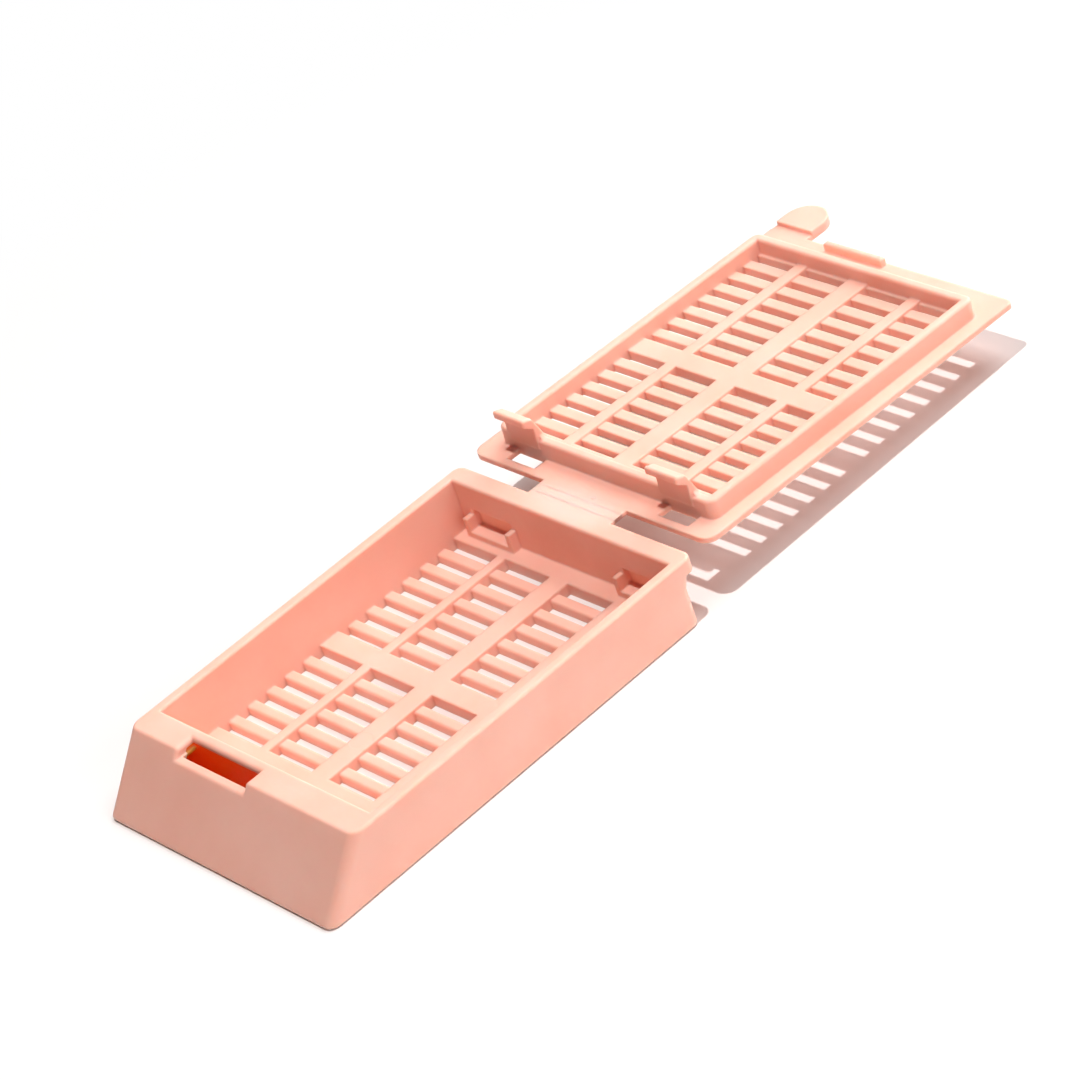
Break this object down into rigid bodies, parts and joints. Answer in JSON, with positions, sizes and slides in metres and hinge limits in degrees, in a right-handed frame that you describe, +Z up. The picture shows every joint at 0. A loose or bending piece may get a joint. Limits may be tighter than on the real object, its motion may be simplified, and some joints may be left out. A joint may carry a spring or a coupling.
{
  "type": "tissue cassette",
  "caption": "Open tissue processing cassette moulded in pink plastic: slotted tray with a sloping writing face, and a slotted lid with hooks, latch rib and finger tab on a flexible strip.",
  "frame": {"origin": "centre of the tray's flat underside", "axes": "+Z up out of the open tray, +Y from the writing face to the lid, +X along the fold line"},
  "size_m": [0.0289, 0.0859, 0.0103],
  "materials": {
    "shell": "matte"
  },
  "bodies": {
    "tray": {"base": "shell"},
    "cover": {"lid": "shell"}
  },
  "joints": [
    {"name": "fold", "type": "hinge", "parent": "tray", "child": "cover", "pos_m": [0, 0.02277, 0.00612], "axis": [1, 0, 0], "range_deg": [0, 181.8]}
  ]
}
